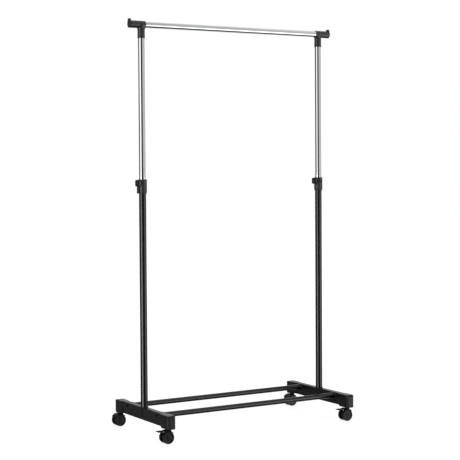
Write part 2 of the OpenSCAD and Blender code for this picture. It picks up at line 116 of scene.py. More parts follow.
def powderCoat():
    # black polyester powder coat, sprayed and baked: semi-gloss, with a faint orange peel
    finish, tree, place = newFinish("blackPowderCoat")
    patch = patches(tree, place, paint["patch"], 3)
    peel = patches(tree, place, paint["peel"], 2)
    closeFinish(tree, addNode(tree, "ShaderNodeBsdfPrincipled", {"IOR": paint["ior"]}, {
        "Base Color": tinted(tree, patch, paint["colour"], paint["worn"]),
        "Roughness": glossed(tree, patch, paint["roughness"], paint["smoother"], paint["rougher"]),
        "Normal": bumped(tree, peel, paint["peelShare"], paint["peelHeight"])}))
    return finish


def chromePlate():
    # chrome on drawn steel tube, plated bright: mirror streaks, broken by faint drawing lines and haze
    finish, tree, place = newFinish("polishedChromePlate")
    patch = patches(tree, place, chrome["patch"], 4)
    lines = patches(tree, place, chrome["line"], 1)
    closeFinish(tree, addNode(tree, "ShaderNodeBsdfPrincipled", {"Metallic": 1.0}, {
        "Base Color": tinted(tree, patch, chrome["colour"], chrome["hazed"]),
        "Roughness": glossed(tree, patch, chrome["roughness"], chrome["smoother"], chrome["rougher"]),
        "Normal": bumped(tree, lines, chrome["lineShare"], chrome["lineHeight"])}))
    return finish


# each moulding: colour, scuffed colour, roughness, texture grain in mm, how deep it is, IOR, specular level;
# the grain is coarser than real mould texture so that it shows
mouldings = {
    # spark-eroded mould texture on polypropylene: a soft grey sheen on faces that catch the light
    "texturedPolypropylene": ["#0f0f10", "#171718", 0.36, 0.7, 0.25, 1.49, 0.32],
    # satin ABS corners: a broad soft highlight along each edge
    "satinAbs": ["#111112", "#19191a", 0.36, 0.5, 0.18, 1.54, 0.75],
    # satin ABS collars, moulded a little rougher than the corners
    "satinAbsCollar": ["#1d1d1e", "#262628", 0.42, 0.5, 0.22, 1.54, 0.6],
    # smooth-moulded ABS, a little handled: a soft-edged highlight on knob and wing
    "glossAbs": ["#141415", "#1d1d1e", 0.30, 0.8, 0.08, 1.54, 0.6],
    # glass-filled nylon hoods and pedals: dark, slightly dry
    "filledNylon": ["#070708", "#0f0f10", 0.40, 0.6, 0.30, 1.53, 0.3],
    # nylon wheels, dulled on the tread by the floor
    "nylonWheel": ["#0a0a0b", "#131314", 0.34, 0.6, 0.20, 1.53, 0.2],
    # unpigmented polyethylene of the hidden plugs and pads: waxy and off-white
    "naturalPolyethylene": ["#dcdace", "#cfccbd", 0.45, 0.9, 0.20, 1.51, 0.5]}

moulding = {"patch": 22, "smoother": 0.05, "rougher": 0.07, "height": 0.08}


def mouldedPlastic(name, colour, scuffed, roughness, grain, depth, ior, shine):
    finish, tree, place = newFinish(name)
    patch = patches(tree, place, moulding["patch"], 4)
    texture = addNode(tree, "ShaderNodeTexNoise", {"Scale": grainScale(grain), "Detail": 3, "Roughness": 0.6},
                      {"Vector": place})
    closeFinish(tree, addNode(tree, "ShaderNodeBsdfPrincipled", {"IOR": ior, "Specular IOR Level": shine}, {
        "Base Color": tinted(tree, patch, colour, scuffed),
        "Roughness": glossed(tree, patch, roughness, moulding["smoother"], moulding["rougher"]),
        "Normal": bumped(tree, texture, depth, moulding["height"])}))
    return finish


# each metal: colour, second tone, roughness, grain in mm
metals = {
    # bright zinc plating on turned and pressed steel: grey with faint warm clouds
    "zincPlate": ["#b9babb", "#a5a59c", 0.32, 2.5],
    # ground bare steel of the swivel stems
    "groundSteel": ["#c4c5c7", "#adaeb0", 0.22, 1.2],
    # blackened screw steel: dark, with worn edges on the drive recess
    "blackOxide": ["#242426", "#38383a", 0.38, 1.5]}

plating = {"smoother": 0.06, "rougher": 0.08, "share": 0.1, "height": 0.03}


def platedMetal(name, colour, tone, roughness, grain):
    finish, tree, place = newFinish(name)
    cloud = patches(tree, place, grain, 4)
    closeFinish(tree, addNode(tree, "ShaderNodeBsdfPrincipled", {"Metallic": 1.0}, {
        "Base Color": tinted(tree, cloud, colour, tone),
        "Roughness": glossed(tree, cloud, roughness, plating["smoother"], plating["rougher"]),
        "Normal": bumped(tree, cloud, plating["share"], plating["height"])}))
    return finish


made = {name: mouldedPlastic(name, *values) for name, values in mouldings.items()}
made.update({name: platedMetal(name, *values) for name, values in metals.items()})
finishOf = {
    "black_tube": powderCoat(), "chrome_tube": chromePlate(),
    "moulded_plastic": made["texturedPolypropylene"], "corner_plastic": made["satinAbs"],
    "collar_plastic": made["satinAbsCollar"], "knob_plastic": made["glossAbs"],
    "caster_plastic": made["filledNylon"], "wheel_plastic": made["nylonWheel"],
    "natural_plastic": made["naturalPolyethylene"], "zinc_steel": made["zincPlate"],
    "bright_steel": made["groundSteel"], "dark_screw": made["blackOxide"]}
for part in frame["record"]["subparts"]:
    for held in nodes[part["node"]].material_slots:
        held.material = finishOf[part["material_slot"]]
print("finishes made")


# rounded solids: distance fields in mm, negative inside, that become quad meshes
def meet(a, b, r):
    return np.minimum(-r, np.maximum(a, b)) + np.hypot(np.maximum(a + r, 0), np.maximum(b + r, 0))


def join(a, b, r):
    return np.maximum(r, np.minimum(a, b)) - np.hypot(np.maximum(r - a, 0), np.maximum(r - b, 0))


def cut(a, b, r=0.3):
    return meet(a, -b, r)


def rod(u, v, w, radius, low, high, r):
    return meet(np.hypot(u, v) - radius, np.maximum(low - w, w - high), r)


def block(x, y, z, half, r):
    away = [np.abs(x) - half[0] + r, np.abs(y) - half[1] + r, np.abs(z) - half[2] + r]
    outside = np.sqrt(sum(np.maximum(d, 0) ** 2 for d in away))
    return outside + np.minimum(np.maximum(np.maximum(away[0], away[1]), away[2]), 0) - r


skin = {"turns": 3, "probe": 0.02, "flattest": 0.05, "reach": 0.45}      # how points settle on the surface


def skinField(field, low, high, step):
    axes = [np.arange(low[i] - 1.5 * step[i], high[i] + 2.5 * step[i], step[i]) for i in range(3)]
    grid = np.ascontiguousarray(np.broadcast_to(
        field(axes[0][:, None, None], axes[1][None, :, None], axes[2][None, None, :]),
        [len(a) for a in axes])).astype(float)
    grid[grid == 0] = 1e-6      # no grid point lies on the surface itself
    inside = grid < 0
    cells = [n - 1 for n in grid.shape]
    total = np.zeros(cells + [3])
    count = np.zeros(cells)
    crossed = []
    for axis in range(3):
        first = [slice(None)] * 3
        second = [slice(None)] * 3
        first[axis], second[axis] = slice(0, -1), slice(1, None)
        a, b = grid[tuple(first)], grid[tuple(second)]
        i, j, k = np.nonzero(inside[tuple(first)] != inside[tuple(second)])
        share = a[i, j, k] / (a[i, j, k] - b[i, j, k])
        point = np.stack([axes[0][i], axes[1][j], axes[2][k]], 1)
        point[:, axis] += share * step[axis]
        crossed.append((i, j, k, inside[tuple(first)][i, j, k]))
        o1, o2 = [d for d in range(3) if d != axis]
        for s1 in (0, -1):
            for s2 in (0, -1):
                cell = [i, j, k]
                cell[o1] = cell[o1] + s1
                cell[o2] = cell[o2] + s2
                np.add.at(total, tuple(cell), point)
                np.add.at(count, tuple(cell), 1)
    number = np.full(cells, -1)
    used = count > 0
    number[used] = np.arange(used.sum())
    points = total[used] / count[used][:, None]
    quads = []
    for axis, (i, j, k, startsInside) in enumerate(crossed):
        o1, o2 = (axis + 1) % 3, (axis + 2) % 3
        ring = []
        for s1, s2 in ((-1, -1), (0, -1), (0, 0), (-1, 0)):
            cell = [i, j, k]
            cell[o1] = cell[o1] + s1
            cell[o2] = cell[o2] + s2
            ring.append(number[tuple(cell)])
        quad = np.stack(ring, 1)
        quad[~startsInside] = quad[~startsInside][:, ::-1]
        quads.append(quad)

    def slope(p, h=skin["probe"]):
        parts = []
        for d in range(3):
            move = np.zeros(3)
            move[d] = h
            parts.append((field(*(p + move).T) - field(*(p - move).T)) / (2 * h))
        return np.stack(parts, 1)

    for turn in range(skin["turns"]):
        away = slope(points)
        length2 = np.maximum((away ** 2).sum(1), skin["flattest"])
        shift = (field(*points.T) / length2)[:, None] * away
        points -= np.clip(shift, -skin["reach"] * min(step), skin["reach"] * min(step))
    return points, np.concatenate(quads)


def addPiece(name, points, faces, slotName, body, replaced):
    mesh = bpy.data.meshes.new(name)
    mesh.from_pydata((np.asarray(points) * mm).tolist(), [], np.asarray(faces).tolist()
                     if isinstance(faces, np.ndarray) else faces)
    mesh.validate()
    mesh.shade_smooth()
    mesh.materials.append(finishOf[slotName])
    piece = bpy.data.objects.new(name, mesh)
    bpy.context.scene.collection.objects.link(piece)
    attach(piece, body)
    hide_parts(*replaced)
    return piece


def middle(node):
    low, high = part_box(node)
    return [(low[i] + high[i]) / 2 / mm for i in range(3)]


def flipped(points, faces):
    return points * [-1, 1, 1], faces[:, ::-1]


foot = {"beam": 11.5, "pad": 15.5, "wall": 2.6, "roof": 4.2, "arch": 3.5, "padLength": 52, "nose": 10,
        "blendFrom": 10, "blend": 12, "edge": 2.6, "corner": 7, "rim": 0.8,
        "hollowRound": 1.0, "shellRound": 0.6,
        "boss": 14.25, "bossWall": 1.75, "bossRise": 1.5, "bossRound": 0.8, "bossFillet": 2.4,
        "boltBoss": 10.35, "railBoss": 11.5, "railSink": 0.6, "railRound": 1.2, "railFillet": 1.4,
        "railX": 7.5, "play": 0.05, "socket": 7.8, "plainRound": 0.4,
        "ribsAt": (0.28, 0.62), "rib": 2, "ribDrop": 3, "ribLap": 1,
        "postBore": 12.55, "seat": 15.5, "bolt": 4.05, "recess": 7.75, "recessDepth": 6, "screw": 2.05,
        "sleeve": 5.23, "sleeveDepth": 33, "mouthRound": 0.3, "crisp": 0.01,
        "markY": 136, "markDepth": 1.4, "markOuter": 4.4, "markInner": 2.0, "markRound": 0.2,
        "past": 60, "step": [1.0, 1.25, 1.0]}      # past: how far a cutting rod runs on outside
footLow, footHigh = [[c / mm for c in p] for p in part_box("right_foot")]
footBase, footTop, footEnd = footLow[2], footHigh[2] - foot["bossRise"], footHigh[1]
postX = middle("right_lower_post")[0]
railY, railZ = middle("back_bottom_rail")[1:]
railR = (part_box("back_bottom_rail")[1][2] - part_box("back_bottom_rail")[0][2]) / 2 / mm
casterY = middle("back_right_caster_socket")[1]


def footField(x, y, z):
    w = np.abs(y)
    padStart = footEnd - foot["padLength"]
    share = np.clip((w - (padStart - foot["blendFrom"])) / foot["blend"], 0, 1)
    half = foot["beam"] + (foot["pad"] - foot["beam"]) * share * share * (3 - 2 * share)
    archZ, roofZ = footBase + foot["arch"], footTop - foot["roof"]
    under = footBase + foot["arch"] * np.clip((padStart - w) / foot["arch"] + 1, 0, 1)
    plan = meet(np.abs(x) - half, w - footEnd, foot["corner"])
    body = meet(plan, z - footTop, foot["edge"])
    body = np.maximum(body, meet(w - footEnd, z - footTop, foot["nose"]))
    body = meet(body, under - z, foot["rim"])
    hollow = meet(np.maximum(np.abs(x) - half, w - footEnd) + foot["wall"], z - roofZ, foot["hollowRound"])
    body = cut(body, hollow, foot["shellRound"])
    seatZ, proudZ = footBase + foot["seat"], footTop + foot["bossRise"]
    boss = rod(x, y + 0 * z, z, foot["boss"], seatZ - foot["bossWall"], proudZ, foot["bossRound"])
    body = join(body, boss, foot["bossFillet"])
    body = np.minimum(body, rod(x, y + 0 * z, z, foot["boltBoss"], archZ, seatZ, foot["plainRound"]))
    railBoss = rod(w - railY, z - railZ, x, foot["railBoss"], -foot["pad"], foot["beam"] - foot["railSink"],
                   foot["railRound"])
    body = join(body, railBoss, foot["railFillet"])
    socket = rod(x, w - casterY, z, foot["socket"], footBase, roofZ + foot["ribLap"], foot["plainRound"])
    body = np.minimum(body, socket)
    for part in foot["ribsAt"]:
        rib = np.maximum(np.abs(w - part * railY) - foot["rib"] / 2,
                         np.abs(x) - foot["beam"] + foot["ribLap"])
        rib = np.maximum(rib, np.maximum(archZ + foot["ribDrop"] - z, z - roofZ - foot["ribLap"]))
        body = np.minimum(body, rib)
    mark = np.hypot(w - foot["markY"], z - railZ)
    mark = np.maximum(mark - foot["markOuter"], foot["markInner"] - mark)
    body = cut(body, np.maximum(mark, foot["beam"] - foot["markDepth"] - x), foot["markRound"])
    below, past, crisp = footBase - foot["past"], foot["past"], foot["crisp"]
    for bore in (
            rod(x, y + 0 * z, z, foot["postBore"], seatZ, footTop + past, crisp),
            rod(x, y + 0 * z, z, foot["bolt"], below, footTop, crisp),
            rod(x, y + 0 * z, z, foot["recess"], below, archZ + foot["recessDepth"], crisp),
            rod(w - railY, z - railZ, x, railR + foot["play"], -past, foot["railX"], crisp),
            rod(w - railY, z - railZ, x, foot["screw"], -past, past, crisp),
            rod(x, w - casterY, z, foot["sleeve"], below, footBase + foot["sleeveDepth"], crisp)):
        body = cut(body, bore, foot["mouthRound"])
    return body


def buildFeet():
    points, faces = skinField(footField, [-foot["pad"], -footEnd, footBase],
                              [foot["pad"], footEnd, footTop + foot["bossRise"]], foot["step"])
    for side, sign in (("right", 1), ("left", -1)):
        p, f = (points, faces) if sign > 0 else flipped(points, faces)
        addPiece(side + "FootMoulding", p + [sign * postX, 0, 0], f, "moulded_plastic", "root",
                 [side + "_foot"])
    print("feet", len(faces), "quads each")


buildFeet()


tee = {"barrel": 13, "sleeve": 12.7, "inboard": 14.5, "outboard": 43, "drop": 47, "bore": 11.35,
       "web": 14.65, "fillet": 4.5, "edge": 1.2, "mouth": 2.2, "end": 0.3, "past": 6,
       "ring": 0.45, "ringHeight": 5, "ringRound": 0.5, "step": [0.7, 0.7, 0.7]}
stop = {"flange": 13.4, "thick": 4.6, "flangeRound": 1.6, "half": 9.5, "corner": 6, "rise": 19.6,
        "fillet": 3.5, "edge": 1.5, "plug": 10.45, "plugLength": 16, "plugRound": 0.4, "lap": 1,
        "step": [0.6, 0.6, 0.6]}
railTopZ = middle("top_rail")[2]


def teeField(x, y, z):
    barrel = rod(y, z, x, tee["barrel"], -tee["inboard"], tee["outboard"] + tee["past"], tee["mouth"])
    barrel = meet(barrel, x - tee["outboard"], tee["end"])
    sleeve = rod(x, y + 0 * z, z, tee["sleeve"], -tee["drop"], 0, tee["edge"])
    ring = rod(x, y + 0 * z, z, tee["sleeve"] + tee["ring"], -tee["drop"], -tee["drop"] + tee["ringHeight"],
               tee["ringRound"])
    body = join(join(barrel, sleeve, tee["fillet"]), ring, tee["ringRound"])
    body = cut(body, np.hypot(y, z + 0 * x) - tee["bore"])
    return cut(body, np.maximum(np.hypot(x, y + 0 * z) - tee["bore"], z + tee["web"]))


def stopField(x, y, z):
    flange = rod(y, z, x, stop["flange"], 0, stop["thick"], stop["flangeRound"])
    tongue = meet(np.abs(y) - stop["half"], np.maximum(z - stop["rise"], -z), stop["corner"])
    body = meet(join(tongue, flange, stop["fillet"]), np.maximum(x - stop["thick"], -x), stop["edge"])
    return np.minimum(body, rod(y, z, x, stop["plug"], -stop["plugLength"], stop["lap"], stop["plugRound"]))


def buildCorners():
    points, faces = skinField(teeField, [-tee["inboard"], -tee["sleeve"] - 1, -tee["drop"]],
                              [tee["outboard"], tee["sleeve"] + 1, tee["barrel"]], tee["step"])
    stopPoints, stopFaces = skinField(stopField, [-stop["plugLength"], -stop["flange"], -stop["flange"]],
                                      [stop["thick"], stop["flange"], stop["rise"]], stop["step"])
    stopPoints = stopPoints + [tee["outboard"], 0, 0]
    for side, sign in (("right", 1), ("left", -1)):
        spot = [sign * postX, 0, railTopZ]
        p, f = (points, faces) if sign > 0 else flipped(points, faces)
        addPiece(side + "CornerTee", p + spot, f, "corner_plastic", "upper_frame", [side + "_top_tee"])
        p, f = (stopPoints, stopFaces) if sign > 0 else flipped(stopPoints, stopFaces)
        addPiece(side + "HangerStop", p + spot, f, "corner_plastic", "upper_frame", [side + "_end_cap"])
    print("corners", len(faces), "and", len(stopFaces), "quads each")


buildCorners()


collar = {"radius": 15.5, "foot": 13.9, "taper": 5.5, "skirt": 45, "lip": 4.5, "edge": 1.1,
          "groove": 0.55, "grooveOut": 0.1, "grooveUp": 1.2, "grooveRound": 0.25,
          "bore": 12.55, "lipBore": 11.38, "clampDrop": 8.5, "turn": 195,
          "boss": 9.3, "bossReach": 17.73, "bossRound": 0.8, "bossFillet": 2.2,
          "nut": 5.1, "nutReach": 16.5, "nutRound": 0.1, "screw": 3.08, "screwRound": 0.2,
          "margin": 1, "step": [0.7, 0.7, 0.7]}
knob = {"start": 18.03, "depth": 6.4, "half": 11.5, "corner": 6, "edge": 1.3,
        "dish": 12, "dishUp": 11.2, "dishRound": 0.4,
        "wing": 36, "wingWide": 3.5, "waist": 0.6, "wingThick": 4.0, "wingSink": 0.4, "wingEdge": 1.2,
        "wingFrom": 4, "wingFillet": 1.8, "bore": 3.05, "boreEnd": 22.5, "boreRound": 0.15,
        "turns": {"right": 90, "left": 0}, "step": [0.5, 0.5, 0.5]}
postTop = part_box("right_lower_post")[1][2] / mm
clampWay = [math.cos(math.radians(collar["turn"])), math.sin(math.radians(collar["turn"]))]


def collarField(x, y, z):
    around = np.hypot(x, y + 0 * z)
    low = -collar["skirt"]
    taper = np.clip((z - low) / collar["taper"], 0, 1)
    slant = collar["foot"] + (collar["radius"] - collar["foot"]) * taper
    body = meet(around - slant, np.maximum(low - z, z - collar["lip"]), collar["edge"])
    groove = np.hypot(around - collar["radius"] - collar["grooveOut"],
                      z - low - collar["taper"] - collar["grooveUp"]) - collar["groove"]
    body = cut(body, groove, collar["grooveRound"])
    out = x * clampWay[0] + y * clampWay[1]
    across = -x * clampWay[1] + y * clampWay[0]
    up = z + collar["clampDrop"]
    boss = rod(across, up, out, collar["boss"], 0, collar["bossReach"], collar["bossRound"])
    body = join(body, boss, collar["bossFillet"])
    body = cut(body, np.maximum(around - collar["bore"], z))
    body = cut(body, around - collar["lipBore"])
    slants = [np.abs(0.5 * across + way * 0.866 * up) for way in (1, -1)]
    hexagon = np.maximum(np.abs(across), np.maximum(*slants))
    pocket = np.maximum(hexagon - collar["nut"], np.maximum(-out, out - collar["nutReach"]))
    body = cut(body, pocket, collar["nutRound"])
    return cut(body, np.maximum(np.hypot(across, up) - collar["screw"], -out), collar["screwRound"])


def knobField(x, y, z):
    face = knob["start"] + knob["depth"]
    square = meet(np.abs(x) - knob["half"], np.abs(y) - knob["half"], knob["corner"])
    hub = meet(square, np.maximum(knob["start"] - z, z - face), knob["edge"])
    dish = np.sqrt(x * x + y * y + (z - face - knob["dishUp"]) ** 2) - knob["dish"]
    hub = cut(hub, dish, knob["dishRound"])
    reach = np.clip(x, 0, knob["wing"] - knob["wingWide"])
    swell = knob["wingWide"] - knob["waist"] * (1 - reach / knob["wing"])
    flat = np.hypot(x - reach, y + 0 * z) - swell
    thick = np.abs(z - face + knob["wingSink"] + knob["wingThick"] / 2) - knob["wingThick"] / 2
    wing = meet(flat, thick, knob["wingEdge"])
    body = join(hub, np.maximum(wing, knob["wingFrom"] - x), knob["wingFillet"])
    bore = np.maximum(np.hypot(x, y + 0 * z) - knob["bore"], z - knob["boreEnd"])
    return cut(body, bore, knob["boreRound"])


def buildClamps():
    margin = collar["margin"]
    reach = collar["bossReach"] + margin
    points, faces = skinField(collarField, [-reach - margin, -reach, -collar["skirt"]],
                              [collar["radius"], collar["radius"], collar["lip"]], collar["step"])
    knobPoints, knobFaces = skinField(
        knobField, [-knob["half"], -knob["half"], knob["start"]],
        [knob["wing"], knob["half"], knob["start"] + knob["depth"]], knob["step"])
    for side, sign in (("right", 1), ("left", -1)):
        addPiece(side + "HeightCollar", points + [sign * postX, 0, postTop], faces, "collar_plastic", "root",
                 [side + "_height_collar"])
        turn = math.radians(knob["turns"][side])
        c, s = math.cos(turn), math.sin(turn)
        x, y, z = knobPoints.T
        x, y = c * x - s * y, s * x + c * y          # turned about the screw
        x, z = z, -x                                 # laid along the screw's axis
        placed = np.stack([clampWay[0] * x - clampWay[1] * y, clampWay[1] * x + clampWay[0] * y, z], 1)
        addPiece(side + "WingKnob", placed + [sign * postX, 0, postTop - collar["clampDrop"]], knobFaces,
                 "knob_plastic", side + "_knob", [side + "_lock_knob"])
    print("clamps", len(faces), "and", len(knobFaces), "quads each")


buildClamps()


caster = {"trail": 10, "wheel": 21, "web": 5.2, "webRound": 0.5, "gap": 0.15,
          "neck": 7.5, "neckFrom": 27, "neckTop": 46.4, "neckRound": 0.7, "disc": 16.5,
          "spineAt": (-2.4, 33.45), "spineHalf": (7.6, 12.45),
          "fender": 21.9, "fenderThick": 1.8, "fenderRound": 0.7, "fenderFillet": 1.6, "half": 16.75,
          "from": 38, "to": 112, "plainTo": 150, "rootFrom": 15, "rootLap": 0.9, "rootRound": 0.3,
          "rootIn": 0.05, "rootTo": 131, "plainRootTo": 147,
          "pivotR": 25.2, "pivotTurn": 128, "lug": 3.2, "lugHalf": 4.9, "lugRound": 0.3, "lugFillet": 0.6,
          "pinBore": 1.55, "pinRound": 0.1, "stemBore": 3.95, "stemFrom": 26, "axleBore": 2.55,
          "boreRound": 0.15, "low": 4, "step": [0.6, 0.6, 0.6]}      # rootIn in radians, turns in degrees
pedal = {"reach": 46, "half": 11, "thick": 2.8, "rise": 0.6, "clear": 4.0, "padRound": 1.0,
         "ridges": 4, "ridgeFrom": 2.6, "ridge": 2.4, "ridgeR": 0.6, "ridgeUp": 0.1, "ridgeRound": 0.2,
         "inner": 5.6, "cheek": 3, "cheekR": 3.6, "shoeR": 2.6, "shoeOut": 4, "link": 4.6, "edge": 0.5,
         "bore": 1.58, "boreRound": 0.1, "margin": (4, 6), "step": [0.5, 0.5, 0.5]}
# the outer face runs from the tread to the hub: radius, and depth behind the face
wheel = {"bore": 2.58, "boreDepth": 9.2, "boreEdge": 0.2, "face": 11, "flatTo": 19.2,
         "innerRound": 1.0, "outerRound": 1.9, "groove": (4.8, 5.0, 5.6, 5.8), "grooveDepth": 0.25,
         "outerFace": [(17.4, 0), (17.1, 0.1), (16.6, 0.35), (16.2, 1.1), (15.8, 1.2), (7.4, 1.2),
                       (7.0, 1.1), (6.7, 0.5), (6.3, 0.2), (6.0, 0.06), (4.5, 0), (2.0, 0), (0, 0)],
         "turns": 72}
pivotX = -caster["trail"] + caster["pivotR"] * math.cos(math.radians(caster["pivotTurn"]))
pivotZ = caster["wheel"] + caster["pivotR"] * math.sin(math.radians(caster["pivotTurn"]))


def hoodField(braked):
    start = math.radians(caster["from"])
    end = math.radians(caster["to"] if braked else caster["plainTo"])
    rootEnd = math.radians(caster["rootTo"] if braked else caster["plainRootTo"])

    def field(x, y, z):
        ax, az = x + caster["trail"], z - caster["wheel"]
        around = np.hypot(ax, az + 0 * y)
        angle = np.arctan2(az, ax)
        inner, outer = caster["fender"], caster["fender"] + caster["fenderThick"]
        shell = meet(np.maximum(inner - around, around - outer), np.abs(y) - caster["half"],
                     caster["fenderRound"])
        shell = meet(shell, np.maximum(start - angle, angle - end) * around, caster["fenderRound"])
        root = meet(np.maximum(caster["rootFrom"] - around, around - inner - caster["rootLap"]),
                    np.abs(y) - caster["web"], caster["rootRound"])
        rootSpan = np.maximum(start + caster["rootIn"] - angle, angle - rootEnd) * around
        root = meet(root, rootSpan, caster["rootRound"])
        disc = rod(ax, az + 0 * y, y, caster["disc"], -caster["web"], caster["web"], caster["webRound"])
        spine = block(x - caster["spineAt"][0], y, z - caster["spineAt"][1],
                      [caster["spineHalf"][0], caster["web"], caster["spineHalf"][1]], caster["webRound"])
        neck = rod(x, y + 0 * z, z, caster["neck"], caster["neckFrom"], caster["neckTop"],
                   caster["neckRound"])
        wheelRoom = np.maximum(around - inner, caster["web"] + caster["gap"] - np.abs(y))
        body = join(shell, cut(neck, wheelRoom, caster["pinRound"]), caster["fenderFillet"])
        body = np.minimum(body, np.minimum(np.minimum(disc, spine), root))
        if braked:
            lug = rod(x - pivotX, z - pivotZ + 0 * y, y, caster["lug"], -caster["lugHalf"],
                      caster["lugHalf"], caster["lugRound"])
            body = join(body, lug, caster["lugFillet"])
            pin = np.hypot(x - pivotX, z - pivotZ + 0 * y) - caster["pinBore"]
            body = cut(body, pin, caster["pinRound"])
        stem = np.maximum(np.hypot(x, y + 0 * z) - caster["stemBore"], caster["stemFrom"] - z)
        body = cut(body, stem, caster["boreRound"])
        return cut(body, np.hypot(ax, az + 0 * y) - caster["axleBore"], caster["boreRound"])

    return field


def pedalField(x, y, z):
    base = pivotZ + pedal["rise"]
    thick, cheekWide = pedal["thick"], pedal["cheek"] / 2
    low, high = -pedal["reach"], pivotX - pedal["clear"]
    pad = block(x - (low + high) / 2, y, z - base - thick / 2,
                [(high - low) / 2, pedal["half"], thick / 2], pedal["padRound"])
    for k in range(pedal["ridges"]):
        groove = np.hypot(x - low - pedal["ridgeFrom"] - k * pedal["ridge"],
                          (z - base - thick - pedal["ridgeUp"]) + 0 * y) - pedal["ridgeR"]
        pad = cut(pad, groove, pedal["ridgeRound"])
    arm = np.abs(y) - pedal["inner"] - cheekWide
    fromPin = np.hypot(x - pivotX, z - pivotZ + 0 * y)
    cheek = meet(fromPin - pedal["cheekR"], np.abs(arm) - cheekWide, pedal["edge"])
    turn = math.radians(caster["pivotTurn"] + 90)
    shoe = np.hypot(x - pivotX - pedal["shoeOut"] * math.cos(turn),
                    z - pivotZ - pedal["shoeOut"] * math.sin(turn) + 0 * y) - pedal["shoeR"]
    shoe = meet(shoe, np.abs(arm) - cheekWide, pedal["edge"])
    link = block(x - pivotX + pedal["link"], arm, z - base - thick / 2,
                 [pedal["link"], cheekWide, thick / 2], pedal["edge"])
    body = np.minimum(np.minimum(pad, link), np.minimum(cheek, shoe))
    return cut(body, fromPin - pedal["bore"], pedal["boreRound"])


def spin(profile, count):
    ring = np.linspace(0, 2 * math.pi, count, endpoint=False)
    points, faces, rows = [], [], []
    for radius, w in profile:
        if radius == 0:
            rows.append([len(points)] * count)
            points.append([0, w, 0])
        else:
            rows.append(list(range(len(points), len(points) + count)))
            points += [[radius * math.cos(a), w, radius * math.sin(a)] for a in ring]
    for a, b in zip(rows, rows[1:]):
        for i in range(count):
            k = (i + 1) % count
            face = [a[i], b[i], b[k], a[k]]
            faces.append([v for n, v in enumerate(face) if v not in face[:n]])
    return np.array(points, float), faces


def arc(cr, cw, r, a0, a1, n=5):
    return [(cr + r * math.cos(math.radians(a)), cw + r * math.sin(math.radians(a)))
            for a in np.linspace(a0, a1, n)]


def wheelProfile():
    bore, face, rim = wheel["bore"], wheel["face"], caster["wheel"]
    inner, outer, cutIn = wheel["innerRound"], wheel["outerRound"], rim - wheel["grooveDepth"]
    line = [(0, wheel["boreDepth"]), (bore, wheel["boreDepth"]), (bore, wheel["boreEdge"]),
            (bore + wheel["boreEdge"], 0), (wheel["flatTo"], 0)]
    line += arc(rim - inner, inner, inner, -90, 0)
    line += list(zip((rim, cutIn, cutIn, rim), wheel["groove"]))
    line += arc(rim - outer, face - outer, outer, 0, 90, 6)
    return line + [(radius, face - depth) for radius, depth in wheel["outerFace"]]


def buildCasters():
    reach = caster["trail"] + caster["fender"] + caster["fenderThick"]
    ahead = reach - 2 * caster["trail"]
    hoods = {braked: skinField(hoodField(braked), [-reach, -caster["half"], caster["low"]],
                               [ahead, caster["half"], caster["neckTop"]], caster["step"])
             for braked in (True, False)}
    side, depth = pedal["margin"]
    pedalPoints, pedalFaces = skinField(pedalField, [-pedal["reach"], -pedal["half"], pivotZ - depth],
                                        [pivotX + side, pedal["half"], pivotZ + side], pedal["step"])
    wheelPoints, wheelFaces = spin(wheelProfile(), wheel["turns"])
    for corner in ("front_left", "front_right", "back_left", "back_right"):
        end, side = corner.split("_")
        name = end + side.capitalize()
        spot = middle(corner + "_caster_stem")[:2] + [0]
        braked = corner.startswith("front")
        points, faces = hoods[braked]
        addPiece(name + "CasterHood", points + spot, faces, "caster_plastic", corner + "_caster",
                 [corner + "_caster_hood"])
        for which in ("outer", "inner"):
            node = corner + "_" + which + "_wheel"
            y0, y1 = [p[1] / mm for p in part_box(node)]
            out = 1 if (y0 + y1) / 2 > spot[1] else -1
            near = y0 if out > 0 else y1
            p = wheelPoints * [1, out, 1] + [middle(node)[0], near, middle(node)[2]]
            f = wheelFaces if out < 0 else [q[::-1] for q in wheelFaces]
            addPiece(name + which.capitalize() + "Wheel", p, f, "wheel_plastic", node, [node])
        if braked:
            addPiece(name + "BrakePedal", pedalPoints + spot, pedalFaces, "caster_plastic", corner + "_brake",
                     [corner + "_brake_pedal"])
    print("casters", [len(h[1]) for h in hoods.values()], len(pedalFaces))


buildCasters()


view = {"place": (-2.463, -4.066, 0.934), "yaw": 31.03, "pitch": 2.04, "roll": -0.35, "lens": 103.16,
        "shift": -0.039}
studio = {"ambient": "#2a2a2b", "sides": 0.18, "sidesOver": (0.0, 0.35), "backdrop": 0.8,
          "backdropOver": (0.86, 0.95), "reach": 0.4, "floorHalf": 14, "floorDrop": 0.0002,
          "floorLift": 0.85, "floorFade": (0.5, 2.0), "paper": ["#9a9a9a", "#a6a6a6"], "paperClouds": 1.5,
          "top": [(0.2, 0.3, 3.4), 4.0, 0.72]}
# each panel: turn from the camera's side (left is +), distance, its middle's height, width, own height,
# brightness
panels = {"leftLowPanel": [42, 3.0, 0.06, 1.8, 1.6, 4.8],
          "leftHighPanel": [46, 3.0, 1.91, 2.5, 2.1, 1.6],
          "rightLowPanel": [-71, 3.0, 0.06, 2.2, 1.6, 2.3],
          "rightHighPanel": [-78, 3.0, 2.36, 7.2, 3.0, 0.66],
          "rightUnderPanel": [-66, 3.0, -1.19, 3.0, 0.9, 1.3]}


def faded(tree, value, over, low, high):
    node = addNode(tree, "ShaderNodeMapRange", {
        "interpolation_type": "SMOOTHSTEP", "From Min": over[0], "From Max": over[1],
        "To Min": low, "To Max": high}, {"Value": value})
    return node.outputs[0]


